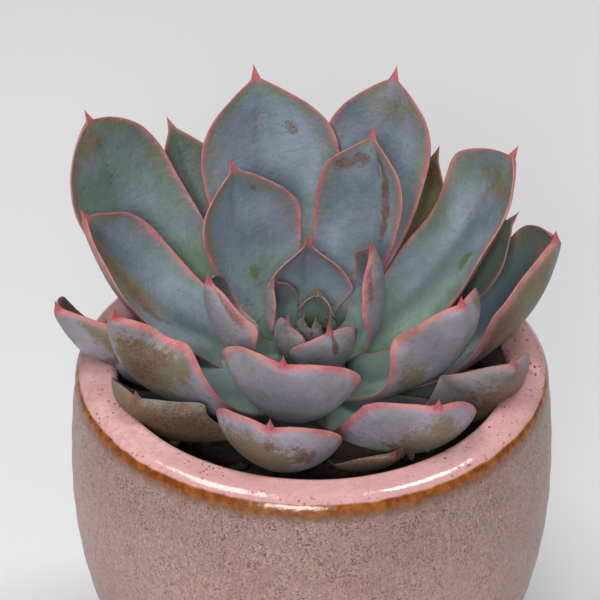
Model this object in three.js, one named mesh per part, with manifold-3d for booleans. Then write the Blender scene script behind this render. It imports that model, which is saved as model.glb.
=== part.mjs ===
// A rosette succulent planted in a glazed stoneware pot.
// Millimetres, +Z up. The origin is the centre of the flat underside of the pot's foot.
import * as THREE from "three";
import { mergeVertices } from "three/addons/utils/BufferGeometryUtils.js";
import Module from "manifold-3d";

const wasm = await Module();
wasm.setup();

// Space left between pieces that touch.
const GAP = 0.3;

// Pot: a rounded tumbler, widest at the belly, with a thick flat-topped rim.
const POT_HEIGHT = 72;
const BELLY_RADIUS = 42;
const BELLY_HEIGHT = 49;
const RIM_RADIUS = 40.2;
const FOOT_RADIUS = 25;
const RIM_WIDTH = 7;
const RIM_ROUND = 2;
const WALL = 6.2;
const FLOOR = 6;
const FOOT_ROUND = 2;
const ROUND_SEGMENTS = 44;
const STEM_SEGMENTS = 20;

// Soil: fills the pot to this depth below the rim.
const SOIL_BELOW_RIM = 12;
const SOIL_MOUND = 1.5;

// Rosette: it leans towards the front, and its stem goes down into the soil.
const CROWN_BELOW_RIM = 2;
const LEAN = 16;
const STEM_RADIUS = 6.5;
const STEM_TOP = 8.8;
const STEM_SHOULDER = -6;
const STEM_BOTTOM = -18;

// Leaf form, shared by every leaf.
const FOOT_SHARE = 0.48; // width of the foot against the leaf's own width
const TIP_FALL = 2.05; // how late a blade narrows towards its tip
const FOOT_HANDLE = 0.45; // how far the foot's direction carries, against the leaf's span
const TIP_HANDLE = 0.5;
const SPINE = 1.9; // length of the sharp tip
const SPINE_WIDTH = 1.5;
const EDGE = 0.4; // thickness of the margins
const THICK_BASE = 0.9;
const THICK_SHARE = 0.1; // thickness gained for each millimetre of width
const STATIONS = [0, 0.12, 0.24, 0.36, 0.48, 0.6, 0.71, 0.81, 0.89, 0.95, 1];

// The leaves, youngest first. Angles are in degrees and lengths in millimetres:
// azimuth  compass direction of the tip from the stem, 0 at the front and growing to the right
// twist    how much further round the stem the foot sits
// seat     height of the foot along the stem
// climb    how steeply the leaf leaves the stem
// reach, rise   distance of the tip from the stem's axis, and its height along it
// finish   how steeply the leaf ends
// width
// cup      half-angle of the arc across the blade
// roll     turn of the blade about its midrib
// point    0.5 gives a round end, 1 a pointed one
// widest   where the blade is widest, along its length
const LEAVES = [
  // azimuth, twist, seat, climb, reach, rise, finish, width, cup, roll, point, widest
  [-40, 0, 7.9, 80, 2.2, 15.5, 92, 3.6, 45, 0, 0.9, 0.4],
  [95, 0, 7.5, 74, 3, 14.5, 94, 4.6, 45, 0, 0.9, 0.4],
  [165, 0, 7.1, 68, 4.2, 16.5, 94, 7, 45, 0, 0.9, 0.45],
  [-50, 0, 6.7, 50, 5, 18, 104, 9, 50, 0, 0.8, 0.5],
  [26, 0, 6.3, 30, 6.2, 18.5, 104, 13.5, 48, 0, 0.7, 0.6],
  [-122, 0, 5.9, 46, 7.4, 19.5, 96, 10, 50, 10, 1.0, 0.45],
  [-177, 0, 5.3, 40, 12.5, 20.5, 78, 15.5, 40, 0, 0.95, 0.48],
  [124, -26, 4.6, 30, 11.5, 25.5, 98, 15, 50, -20, 1.0, 0.52],
  [-98, 30, 3.9, 20, 17.5, 22, 85, 18, 55, 25, 0.7, 0.6],
  [-15, 0, 3, 10, 18, 24.5, 100, 26, 48, 0, 0.5, 0.78],
  [159, -4, 2, 34, 30, 31, 62, 17, 32, 0, 0.85, 0.7],
  [-150, 6, 1, 34, 28, 27, 62, 19.5, 28, 0, 0.8, 0.7],
  [78, -10, 0.2, 15, 25, 25, 94, 22, 52, -40, 0.6, 0.7],
  [-83, 24, -0.6, 12, 33, 20.5, 92, 25, 58, 45, 0.55, 0.74],
  [41, -5, -1.2, 12, 31, 20.8, 93, 24, 46, -32, 0.55, 0.76],
  [-167, 0, -1.6, 28, 45, 30, 52, 24.5, 22, 0, 0.85, 0.72],
  [129, -9, -2, 22, 46, 25, 52, 22, 26, -20, 0.55, 0.78],
  [-113, 6, -2.4, 18, 43, 22, 60, 21.5, 36, 12, 0.6, 0.76],
  [-14, 0, -2.8, 15, 28, 20.5, 98, 24, 46, 0, 0.5, 0.78],
  [161, 0, -3.1, 26, 46, 30, 52, 19.5, 22, 0, 0.75, 0.74],
  [106, -8, -3.4, 5, 43, 22, 86, 24, 56, -24, 0.6, 0.74],
  [-131, 6, -3.7, 12, 52, 28.5, 64, 24, 26, -4, 0.55, 0.78],
  [73, -6, -4, 2, 35, 15.5, 90, 24.5, 50, -44, 0.55, 0.76],
  [-62, 6, -4.3, 10, 33, 13, 90, 22, 45, 34, 0.5, 0.76],
  [-93, 0, -4.6, 0, 43.5, 15, 76, 20, 50, 46, 0.6, 0.72],
  [-149, 0, -4.9, 4, 50, 18, 44, 13, 24, 0, 0.8, 0.7],
  [148.5, 2, -5.2, 6, 43.5, 16.5, 56, 14, 30, -10, 0.8, 0.7],
  [121, 0, -5.5, 6, 42, 16, 46, 11.5, 24, 0, 0.7, 0.74],
  [28, 0, -5.2, 6, 29.5, 10.5, 64, 17, 30, 0, 0.55, 0.78],
  [-170, 0, -6.1, 4, 46, 10, 30, 18, 20, 0, 0.7, 0.74],
  [166, 0, -6.3, -2, 42, 2, 26, 17, 20, 0, 0.7, 0.74],
  [-138, 0, -6.4, 0, 41, 4, 30, 16, 20, 0, 0.7, 0.74],
  [137, 0, -6.5, 0, 40, 4, 30, 16, 20, 0, 0.7, 0.74],
];

const radians = THREE.MathUtils.degToRad;
const smooth = (x) => (1 - Math.cos(Math.PI * Math.min(Math.max(x, 0), 1))) / 2;

// A closed mesh as a manifold solid.
function solidOf(geometry) {
  const bare = geometry.clone();
  bare.deleteAttribute("normal");
  bare.deleteAttribute("uv");
  const merged = mergeVertices(bare, 1e-3);
  return new wasm.Manifold(
    new wasm.Mesh({
      numProp: 3,
      vertProperties: merged.attributes.position.array,
      triVerts: new Uint32Array(merged.index.array),
    }),
  );
}

function geometryOf(solid) {
  const mesh = solid.getMesh();
  const geometry = new THREE.BufferGeometry();
  geometry.setAttribute("position", new THREE.BufferAttribute(mesh.vertProperties.slice(), 3));
  geometry.setIndex(new THREE.BufferAttribute(mesh.triVerts, 1));
  geometry.computeVertexNormals();
  return geometry;
}

// A solid turned round +Z from a profile of [radius, height] points, from the axis to the axis.
function turned(profile, segments = ROUND_SEGMENTS) {
  const points = profile.map(([r, z]) => new THREE.Vector2(Math.max(r, 0), z));
  return new THREE.LatheGeometry(points, segments).rotateX(Math.PI / 2);
}

// Points of a quarter round, from one angle to the other.
function arc(r, z, radius, from, to, steps = 3) {
  return Array.from({ length: steps + 1 }, (_, i) => {
    const a = radians(from + ((to - from) * i) / steps);
    return [r + radius * Math.cos(a), z + radius * Math.sin(a)];
  });
}

// Outer radius of the pot: a parabola from belly to rim, an ellipse from foot to belly.
function wallRadius(z) {
  const above = (z - BELLY_HEIGHT) / (POT_HEIGHT - BELLY_HEIGHT);
  if (above > 0) return BELLY_RADIUS - (BELLY_RADIUS - RIM_RADIUS) * above ** 2;
  const footShare = Math.sqrt(1 - (FOOT_RADIUS / BELLY_RADIUS) ** 2);
  const below = ((BELLY_HEIGHT - z) / BELLY_HEIGHT) * footShare;
  return BELLY_RADIUS * Math.sqrt(1 - below ** 2);
}

function heights(low, high, steps) {
  return Array.from({ length: steps + 1 }, (_, i) => low + ((high - low) * i) / steps);
}

// The pot's inside wall as [radius, height] points, from the floor up to the rim.
function insideWall() {
  const sides = heights(FLOOR + WALL, POT_HEIGHT - 2 * RIM_ROUND, 4);
  return sides.map((z) => [wallRadius(z) - WALL, z]);
}

function potProfile(grow = 0) {
  const round = RIM_ROUND + grow;
  const outside = heights(FOOT_ROUND, POT_HEIGHT - RIM_ROUND, 8);
  const innerRim = RIM_RADIUS - RIM_WIDTH - grow;
  const inside = insideWall().reverse();
  return [
    [0, -grow],
    [FOOT_RADIUS - FOOT_ROUND, -grow],
    ...outside.map((z) => [wallRadius(z) + grow, z]),
    ...arc(RIM_RADIUS - RIM_ROUND, POT_HEIGHT - RIM_ROUND, round, 30, 90),
    ...arc(innerRim + round, POT_HEIGHT - RIM_ROUND, round, 90, 180),
    ...inside.map(([r, z]) => [r - grow, z]),
    [inside.at(-1)[0] - WALL - grow, FLOOR + grow],
    [0, FLOOR + grow],
  ];
}

// The soil follows the inside wall up to its own surface, which rises a little to the middle.
function soilProfile(grow = 0) {
  const top = POT_HEIGHT - SOIL_BELOW_RIM;
  const inside = insideWall();
  const above = inside.findIndex(([, z]) => z > top);
  const [lower, upper] = [inside[above - 1], inside[above]];
  const share = (top - lower[1]) / (upper[1] - lower[1]);
  const edge = lower[0] + share * (upper[0] - lower[0]) - GAP;
  return [
    [0, FLOOR + GAP],
    [inside[0][0] - WALL - GAP, FLOOR + GAP],
    ...inside.slice(0, above).map(([r, z]) => [r - GAP + grow, z]),
    [edge + grow, top + grow],
    [edge * 0.6, top + SOIL_MOUND * 0.6 + grow],
    [0, top + SOIL_MOUND + grow],
  ];
}

// Radius of the stem at a height along it: level to the shoulder, then tapering to the growing tip.
function stemRadius(h) {
  const up = (h - STEM_SHOULDER) / (STEM_TOP - STEM_SHOULDER);
  return STEM_RADIUS * Math.sqrt(Math.max(1 - Math.max(up, 0) ** 1.6, 0));
}

function stemProfile(grow = 0) {
  const sides = heights(STEM_SHOULDER, STEM_TOP, 6).map((h) => [stemRadius(h) + grow, h]);
  sides.at(-1)[0] = 0;
  sides.at(-1)[1] += grow;
  return [
    [0, STEM_BOTTOM - grow],
    [STEM_RADIUS * 0.8 + grow, STEM_BOTTOM - grow],
    ...sides,
  ];
}

// Half-width of a blade, as a share of its widest, at a share of its length.
function outline(t, point, widest) {
  if (t < widest) return FOOT_SHARE + (1 - FOOT_SHARE) * smooth(t / widest);
  const u = (t - widest) / (1 - widest);
  return Math.max(1 - u ** TIP_FALL, 0) ** point;
}

// Compass direction on the level, and the direction that climbs from it.
const heading = (azimuth, climb) =>
  new THREE.Vector3(
    Math.cos(climb) * Math.sin(azimuth),
    -Math.cos(climb) * Math.cos(azimuth),
    Math.sin(climb),
  );

// The midrib of a leaf, from its foot on the stem to its tip.
function midrib([azimuth, twist, seat, climb, reach, rise, finish]) {
  const out = radians(azimuth);
  const start = radians(azimuth + twist);
  const foot = heading(start, 0).multiplyScalar(stemRadius(seat) + GAP);
  foot.z = seat;
  const tip = heading(out, 0).multiplyScalar(reach);
  tip.z = rise;
  const span = foot.distanceTo(tip);
  return new THREE.CubicBezierCurve3(
    foot,
    foot.clone().addScaledVector(heading(start, radians(climb)), FOOT_HANDLE * span),
    tip.clone().addScaledVector(heading(out, radians(finish)), -TIP_HANDLE * span),
    tip,
  );
}

// The blade's sideways and upward directions at a share of its length.
function blade(leaf, curve, t) {
  const [azimuth, twist, , , , , , , , roll] = leaf;
  const along = curve.getTangent(t);
  const turn = radians(azimuth + twist * (1 - t));
  const across = new THREE.Vector3(Math.cos(turn), Math.sin(turn), 0);
  across.addScaledVector(along, -across.dot(along)).normalize();
  across.applyAxisAngle(along, radians(roll) * smooth(t / 0.7));
  return { along, across, up: new THREE.Vector3().crossVectors(along, across) };
}

// A leaf as rings of ten points, five across the upper side and five back along the underside.
function leafGeometry(leaf, grow = 0) {
  const [, , , , , , , width, cup, , point, widest] = leaf;
  const curve = midrib(leaf);
  const bladeShare = 1 - SPINE / curve.getLength();
  const vertices = [];
  for (const t of STATIONS) {
    const { along, across, up } = blade(leaf, curve, t * bladeShare);
    const at = curve.getPoint(t * bladeShare);
    if (t === 0) at.addScaledVector(along, -grow);
    const half = Math.max((width / 2) * outline(t, point, widest), SPINE_WIDTH / 2) + grow;
    const bend = radians(cup) * smooth(t / 0.6) + 1e-3;
    const thick = (THICK_BASE + THICK_SHARE * width) * (1 - 0.55 * t ** 3) - EDGE;
    const add = (s, lift) => {
      const x = (half / bend) * Math.sin(s * bend);
      const y = (half / bend) * (1 - Math.cos(s * bend)) + lift;
      vertices.push(at.clone().addScaledVector(across, x).addScaledVector(up, y));
    };
    for (const s of [-1, -0.5, 0, 0.5, 1]) add(s, EDGE / 2 + grow);
    for (const s of [1, 0.5, 0, -0.5, -1]) add(s, -thick * (1 - s * s) ** 0.7 - EDGE / 2 - grow);
  }
  const ring = 10;
  const rings = STATIONS.length;
  const foot = vertices.length;
  const start = blade(leaf, curve, 0);
  const end = blade(leaf, curve, 1);
  vertices.push(curve.getPoint(0).addScaledVector(start.up, -0.5 * THICK_BASE));
  vertices.at(-1).addScaledVector(start.along, -grow);
  const tip = foot + 1;
  vertices.push(curve.getPoint(1).addScaledVector(end.along, 2 * grow));
  const index = [];
  for (let j = 0; j < ring; j++) {
    const k = (j + 1) % ring;
    index.push(foot, j, k);
    for (let i = 0; i + 1 < rings; i++) {
      const a = i * ring + j;
      const b = i * ring + k;
      index.push(a, a + ring, b + ring, a, b + ring, b);
    }
    index.push((rings - 1) * ring + k, (rings - 1) * ring + j, tip);
  }
  const geometry = new THREE.BufferGeometry().setFromPoints(vertices);
  geometry.setIndex(index);
  return geometry;
}

const largest = (solid) => solid.decompose().sort((a, b) => b.volume() - a.volume())[0];

const potted = new THREE.Group();
const rosette = new THREE.Group();
rosette.position.z = POT_HEIGHT - CROWN_BELOW_RIM;
rosette.rotation.x = radians(LEAN);
rosette.updateMatrix();
potted.add(rosette);

const glaze = new THREE.MeshStandardMaterial({ color: 0xb08e8c, roughness: 0.35 });
const soilMaterial = new THREE.MeshStandardMaterial({ color: 0x2e241c, roughness: 1 });
const stemMaterial = new THREE.MeshStandardMaterial({ color: 0x6f7a5a, roughness: 0.8 });
const leafMaterial = new THREE.MeshStandardMaterial({ color: 0x74868a, roughness: 0.6 });

function add(group, name, geometry, material) {
  const mesh = new THREE.Mesh(geometry, material);
  mesh.name = name;
  group.add(mesh);
}

const toRosette = rosette.matrix.clone().invert();
const stemRoom = solidOf(turned(stemProfile(GAP), STEM_SEGMENTS));
const stemRoomInPot = solidOf(turned(stemProfile(GAP), STEM_SEGMENTS).applyMatrix4(rosette.matrix));

add(potted, "pot", turned(potProfile()), glaze);
add(potted, "potting_mix", geometryOf(solidOf(turned(soilProfile())).subtract(stemRoomInPot)), soilMaterial);
add(rosette, "stem", turned(stemProfile(), STEM_SEGMENTS), stemMaterial);

// Each leaf gives way to the pot, the soil, the stem and every younger leaf.
let taken = stemRoom
  .add(solidOf(turned(potProfile(GAP)).applyMatrix4(toRosette)))
  .add(solidOf(turned(soilProfile(GAP)).applyMatrix4(toRosette)));
LEAVES.forEach((leaf, i) => {
  const solid = largest(solidOf(leafGeometry(leaf)).subtract(taken));
  taken = taken.add(solidOf(leafGeometry(leaf, GAP)));
  add(rosette, `leaf_${String(i + 1).padStart(2, "0")}`, geometryOf(solid), leafMaterial);
});

export default potted;
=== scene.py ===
import math

import bpy
import numpy as np
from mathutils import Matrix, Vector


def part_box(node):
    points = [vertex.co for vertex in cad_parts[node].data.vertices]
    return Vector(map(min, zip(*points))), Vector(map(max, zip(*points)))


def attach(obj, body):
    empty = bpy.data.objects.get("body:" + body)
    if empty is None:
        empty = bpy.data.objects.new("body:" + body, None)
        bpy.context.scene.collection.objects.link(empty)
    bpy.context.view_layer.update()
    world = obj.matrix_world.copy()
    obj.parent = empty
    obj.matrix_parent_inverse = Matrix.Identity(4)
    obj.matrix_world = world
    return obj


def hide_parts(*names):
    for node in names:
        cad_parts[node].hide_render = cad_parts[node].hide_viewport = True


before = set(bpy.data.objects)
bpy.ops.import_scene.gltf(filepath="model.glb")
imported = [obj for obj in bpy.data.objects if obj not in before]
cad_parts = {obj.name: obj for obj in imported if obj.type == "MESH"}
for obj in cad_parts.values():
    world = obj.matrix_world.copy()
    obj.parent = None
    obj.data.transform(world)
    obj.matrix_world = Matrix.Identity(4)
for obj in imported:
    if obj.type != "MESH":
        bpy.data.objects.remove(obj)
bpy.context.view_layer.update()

MM = 0.001
TURN = 2 * math.pi
pot_high = np.array(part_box("pot")[1]) / MM

# Sizes shared with the CAD part. Angles are degrees.
GAP = 0.3
POT_HEIGHT = pot_high[2]
BELLY_RADIUS = 42.0
BELLY_HEIGHT = 49.0
RIM_RADIUS = 40.2
FOOT_RADIUS = 25.0
RIM_WIDTH = 7.0
RIM_ROUND = 2.0
LIP_ROUND = 3.0
WALL = 6.2
FLOOR = 6.0
FOOT_ROUND = 2.0
SOIL_BELOW_RIM = 12.0
CROWN_BELOW_RIM = 2.0
LEAN = 16.0
STEM_RADIUS = 6.5
STEM_TOP = 8.8
STEM_SHOULDER = -6.0
STEM_BOTTOM = -18.0
FOOT_SHARE = 0.48
TIP_FALL = 2.05
FOOT_HANDLE = 0.45
TIP_HANDLE = 0.5
SPINE = 1.9
SPINE_WIDTH = 1.5
EDGE = 0.4
THICK_BASE = 0.9
THICK_SHARE = 0.1

# Pot, mix and stem in the visual: points round each, the mound of mix, and the grains on it.
# AWAY_FROM_RIM marks the middle of the foot and of the floor as far from the rim's corner.
POT_SEGMENTS = 224
SOIL_SEGMENTS = 150
STEM_SEGMENTS = 72
HUMP = 1.5
GRAINS = 420
PALE_GRAINS = 0.1
AWAY_FROM_RIM = 200

# How a leaf rests on the rim: the gap, the slope inside the rim, and how far below it a leaf is bent.
REST_GAP = 0.15
RIM_SLOPE = 2.5
RIM_REACH = 14

# The leaf's own shape: the spine at its tip, and shares of its length by which it is rolled and cupped.
SPINE_REACH = 3.2
SPINE_SWELL = 0.46
SPINE_POWER = 1.25
MARGIN_BLEND = 1.9
LEAST_HALF = 0.02
LEAST_BEND = 0.001
ROLLED_BY = 0.7
CUPPED_BY = 0.6
TIP_THINNING = 0.55

# Relief on a leaf of full width. RELIEF_WIDTH is the width from which it is full.
RELIEF_WIDTH = 22
CHANNEL_WIDTH = 0.17
MARGIN_RAISE = 0.16
MARGIN_WAVE = 0.5
BULGE = 0.14
RIPPLE = 0.22
DROOP = 0.25

# Under BUD_WIDTH a leaf with no tint of its own is a bud, and under MARGIN_WIDTH its pink line narrows.
BUD_WIDTH = 5
MARGIN_WIDTH = 20

# The leaves, youngest first, as in the CAD part:
# azimuth, twist, seat, climb, reach, rise, finish, width, cup, roll, point, widest
LEAVES = [
    [-40, 0, 7.9, 80, 2.2, 15.5, 92, 3.6, 45, 0, 0.9, 0.4],
    [95, 0, 7.5, 74, 3, 14.5, 94, 4.6, 45, 0, 0.9, 0.4],
    [165, 0, 7.1, 68, 4.2, 16.5, 94, 7, 45, 0, 0.9, 0.45],
    [-50, 0, 6.7, 50, 5, 18, 104, 9, 50, 0, 0.8, 0.5],
    [26, 0, 6.3, 30, 6.2, 18.5, 104, 13.5, 48, 0, 0.7, 0.6],
    [-122, 0, 5.9, 46, 7.4, 19.5, 96, 10, 50, 10, 1.0, 0.45],
    [-177, 0, 5.3, 40, 12.5, 20.5, 78, 15.5, 40, 0, 0.95, 0.48],
    [124, -26, 4.6, 30, 11.5, 25.5, 98, 15, 50, -20, 1.0, 0.52],
    [-98, 30, 3.9, 20, 17.5, 22, 85, 18, 55, 25, 0.7, 0.6],
    [-15, 0, 3, 10, 18, 24.5, 100, 26, 48, 0, 0.5, 0.78],
    [159, -4, 2, 34, 30, 31, 62, 17, 32, 0, 0.85, 0.7],
    [-150, 6, 1, 34, 28, 27, 62, 19.5, 28, 0, 0.8, 0.7],
    [78, -10, 0.2, 15, 25, 25, 94, 22, 52, -40, 0.6, 0.7],
    [-83, 24, -0.6, 12, 33, 20.5, 92, 25, 58, 45, 0.55, 0.74],
    [41, -5, -1.2, 12, 31, 20.8, 93, 24, 46, -32, 0.55, 0.76],
    [-167, 0, -1.6, 28, 45, 30, 52, 24.5, 22, 0, 0.85, 0.72],
    [129, -9, -2, 22, 46, 25, 52, 22, 26, -20, 0.55, 0.78],
    [-113, 6, -2.4, 18, 43, 22, 60, 21.5, 36, 12, 0.6, 0.76],
    [-14, 0, -2.8, 15, 28, 20.5, 98, 24, 46, 0, 0.5, 0.78],
    [161, 0, -3.1, 26, 46, 30, 52, 19.5, 22, 0, 0.75, 0.74],
    [106, -8, -3.4, 5, 43, 22, 86, 24, 56, -24, 0.6, 0.74],
    [-131, 6, -3.7, 12, 52, 28.5, 64, 24, 26, -4, 0.55, 0.78],
    [73, -6, -4, 2, 35, 15.5, 90, 24.5, 50, -44, 0.55, 0.76],
    [-62, 6, -4.3, 10, 33, 13, 90, 22, 45, 34, 0.5, 0.76],
    [-93, 0, -4.6, 0, 43.5, 15, 76, 20, 50, 46, 0.6, 0.72],
    [-149, 0, -4.9, 4, 50, 18, 44, 13, 24, 0, 0.8, 0.7],
    [148.5, 2, -5.2, 6, 43.5, 16.5, 56, 14, 30, -10, 0.8, 0.7],
    [121, 0, -5.5, 6, 42, 16, 46, 11.5, 24, 0, 0.7, 0.74],
    [28, 0, -5.2, 6, 29.5, 10.5, 64, 17, 30, 0, 0.55, 0.78],
    [-170, 0, -6.1, 4, 46, 10, 30, 18, 20, 0, 0.7, 0.74],
    [166, 0, -6.3, -2, 42, 2, 26, 17, 20, 0, 0.7, 0.74],
    [-138, 0, -6.4, 0, 41, 4, 30, 16, 20, 0, 0.7, 0.74],
    [137, 0, -6.5, 0, 40, 4, 30, 16, 20, 0, 0.7, 0.74],
]

# Where a side of a blade is drawn in, or out where the share is below zero:
# side (1 or -1), share of the half width, place along the leaf, length of the place.
SIDES = {
    9: [(1, 0.12, 0.75, 0.15)],
    10: [(1, 0.1, 0.9, 0.1), (-1, 0.1, 0.9, 0.1)],
    11: [(1, 0.08, 0.65, 0.25), (1, -0.12, 0.9, 0.07)],
    12: [(-1, 0.1, 0.92, 0.1)],
    13: [(-1, 0.2, 0.76, 0.24)],
    14: [(1, 0.38, 0.86, 0.2), (1, -0.12, 0.35, 0.2), (-1, 0.55, 0.95, 0.3)],
    15: [(-1, -0.15, 0.4, 0.25), (-1, 0.08, 0.86, 0.1), (1, 0.28, 0.9, 0.2)],
    16: [(1, -0.08, 0.9, 0.1), (-1, -0.08, 0.88, 0.1)],
    17: [(1, -0.2, 0.92, 0.07), (1, 0.14, 0.72, 0.16), (-1, 0.12, 0.86, 0.16)],
    18: [(-1, 0.14, 0.75, 0.3), (-1, 0.2, 0.97, 0.04)],
    19: [(1, 0.08, 0.9, 0.1), (-1, 0.08, 0.9, 0.1)],
    20: [(1, -0.06, 0.9, 0.1), (-1, -0.06, 0.9, 0.1)],
    22: [(-1, 0.14, 0.8, 0.3)],
    23: [(1, 0.3, 0.88, 0.2), (-1, 0.16, 0.8, 0.3)],
}

# Leaves whose channel lies off the middle, or is deeper or shallower: place across, depth.
FOLDS = {
    11: (-0.34, 1.5), 12: (0.1, 0.8), 16: (0.0, 0.8),
    17: (0.25, 1.2), 18: (-0.08, 1.2), 20: (-0.1, 0.9),
}

# Colour of each leaf: green of the upper side, lilac of the underside, painted shade for leaves that lie in
# shade, pink of the margins.
# Leaves with no row here take OLD_LEAF, and the folded buds take BUD.
TINTS = {
    1: (1.0, 0.0, 0.45, 0.3), 2: (1.0, 0.0, 0.45, 0.3), 3: (0.8, 0.1, 0.15, 0.5), 4: (0.7, 0.2, 0.1, 0.5),
    5: (0.4, 0.6, 0.1, 0.6), 6: (0.6, 0.3, 0.15, 0.5), 7: (0.2, 0.6, 0.1, 0.9), 8: (0.2, 0.3, 0.0, 1.0),
    9: (0.3, 0.7, 0.0, 0.8), 10: (0.3, 0.8, 0.1, 1.0), 11: (0.0, 0.5, 0.0, 1.0), 12: (0.3, 0.5, 0.1, 1.0),
    13: (0.3, 0.8, 0.0, 1.0), 14: (0.4, 0.8, 0.0, 1.1), 15: (0.4, 0.9, 0.0, 1.0), 16: (0.3, 0.5, 0.0, 1.0),
    17: (0.7, 0.3, 0.0, 1.0), 18: (0.3, 0.5, 0.1, 1.0), 19: (0.4, 1.0, 0.0, 1.0), 20: (0.5, 0.5, 0.0, 0.9),
    21: (0.5, 0.2, 0.0, 0.8), 22: (0.8, 0.5, 0.15, 0.9), 23: (0.6, 0.2, 0.25, 0.25),
    24: (0.6, 0.1, 0.42, 0.05), 25: (0.5, 0.8, 0.0, 1.0), 26: (0.9, 0.3, 0.9, 0.6),
    27: (1.0, 0.0, 0.2, 0.2), 28: (0.9, 0.2, 0.5, 0.5), 29: (0.8, 0.0, 0.3, 0.1),
}
OLD_LEAF = (0.8, 0.4, 0.5, 0.4)
BUD = (1.0, 0.0, 0.35, 0.3)

# Marks on the leaves: kind, place along, place across, size along, size across, side, strength.
# A place across runs from -1 at one margin to 1 at the other. The side is 1 for upper, -1 for under.
MARKS = {
    3: [("yellow", 0.97, 0.0, 0.035, 0.6, 1, 1.2)],
    5: [("brown", 0.9, 0.04, 0.13, 0.1, -1, 1.3), ("olive", 0.6, -0.5, 0.1, 0.2, -1, 0.7)],
    6: [("yellow", 0.97, 0.1, 0.03, 0.6, 1, 1.2), ("olive", 0.6, 0.8, 0.3, 0.2, 1, 0.8)],
    8: [("brown", 0.8, -0.85, 0.16, 0.1, -1, 0.9), ("olive", 0.9, 0.7, 0.08, 0.25, 1, 0.6)],
    9: [("brown", 0.85, 0.88, 0.2, 0.08, -1, 1.0)],
    10: [("olive", 0.5, -0.5, 0.1, 0.2, -1, 0.5)],
    11: [("brown", 0.89, 0.5, 0.03, 0.3, 1, 0.9), ("brown", 0.9, -0.38, 0.06, 0.12, 1, 0.9),
         ("brown", 0.8, -0.5, 0.08, 0.12, 1, 1.0), ("brown", 0.69, -0.56, 0.08, 0.11, 1, 1.0),
         ("brown", 0.59, -0.6, 0.07, 0.09, 1, 1.0), ("brown", 0.92, 0.25, 0.025, 0.3, 1, 0.9)],
    12: [("rubbed", 0.42, 0.1, 0.04, 0.12, 1, 1.1), ("brown", 0.9, -0.45, 0.03, 0.1, 1, 0.75),
         ("olive", 0.75, 0.9, 0.2, 0.12, 1, 0.8)],
    13: [("olive", 0.42, -0.55, 0.12, 0.25, -1, 1.0), ("brown", 0.75, 0.5, 0.12, 0.06, -1, 0.8),
         ("olive", 0.85, 0.75, 0.2, 0.2, -1, 0.7)],
    14: [("brown", 0.78, 0.42, 0.14, 0.4, -1, 1.0), ("olive", 0.72, 0.4, 0.2, 0.5, -1, 1.0),
         ("olive", 0.58, 0.75, 0.12, 0.2, -1, 0.8)],
    15: [("brown", 0.64, -0.1, 0.08, 0.4, -1, 0.9), ("olive", 0.72, 0.15, 0.2, 0.5, -1, 1.0),
         ("olive", 0.92, 0.2, 0.06, 0.35, -1, 0.8)],
    16: [("brown", 0.84, -0.42, 0.025, 0.12, 1, 0.8)],
    17: [("rubbed", 0.6, -0.42, 0.05, 0.09, 1, 1.2), ("olive", 0.92, -0.2, 0.05, 0.7, 1, 0.7),
         ("brown", 0.88, 0.2, 0.05, 0.12, 1, 0.55)],
    18: [("brown", 0.9, 0.25, 0.07, 0.25, 1, 0.95), ("brown", 0.78, 0.24, 0.09, 0.22, 1, 0.95),
         ("brown", 0.66, 0.32, 0.09, 0.2, 1, 0.9), ("brown", 0.54, 0.42, 0.08, 0.16, 1, 0.85),
         ("olive", 0.78, 0.3, 0.25, 0.34, 1, 1.1)],
    19: [("olive", 0.8, -0.2, 0.15, 0.5, -1, 1.15), ("brown", 0.82, 0.5, 0.08, 0.2, -1, 0.8),
         ("brown", 0.93, 0.05, 0.04, 0.12, -1, 0.9)],
    20: [("olive", 0.93, -0.2, 0.05, 0.6, 1, 0.5)],
    21: [("olive", 0.75, -0.7, 0.25, 0.4, -1, 1.1), ("brown", 0.6, -0.85, 0.25, 0.1, -1, 1.0),
         ("olive", 0.9, 0.3, 0.08, 0.5, 1, 0.7)],
    22: [("olive", 0.96, 0.3, 0.05, 0.7, 1, 0.6), ("brown", 0.84, 0.05, 0.03, 0.08, 1, 0.7)],
    23: [("brown", 0.8, 0.1, 0.25, 0.7, -1, 0.9), ("brown", 0.6, -0.5, 0.2, 0.3, -1, 0.7),
         ("olive", 0.65, 0.1, 0.4, 0.8, -1, 0.55)],
    24: [("brown", 0.65, 0.3, 0.4, 0.8, -1, 1.1), ("olive", 0.6, -0.2, 0.5, 1.2, -1, 1.1)],
    25: [("brown", 0.7, 0.35, 0.04, 0.4, -1, 0.9), ("olive", 0.85, 0.8, 0.15, 0.2, -1, 0.8)],
    27: [("olive", 0.6, 0.0, 1.2, 2.5, 1, 1.3), ("brown", 0.95, 0.0, 0.05, 0.8, 1, 0.9)],
    28: [("olive", 0.8, 0.2, 0.2, 0.5, 1, 0.8), ("olive", 0.7, -0.3, 0.2, 0.6, -1, 0.8)],
    29: [("brown", 0.6, 0.0, 1.5, 3.0, -1, 1.2), ("brown", 0.6, 0.0, 1.5, 3.0, 1, 1.2)],
}


def smooth(x):
    """Rises gently from 0 to 1 as x does."""
    return (1 - np.cos(np.pi * np.clip(x, 0, 1))) / 2


def unit(vectors):
    return vectors / np.linalg.norm(vectors, axis=-1, keepdims=True)


def heading(azimuth, climb):
    """The direction at an azimuth, 0 to the front and positive to the right, and a climb, in radians."""
    level = math.cos(climb)
    return np.array([level * math.sin(azimuth), -level * math.cos(azimuth), math.sin(climb)])


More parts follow.
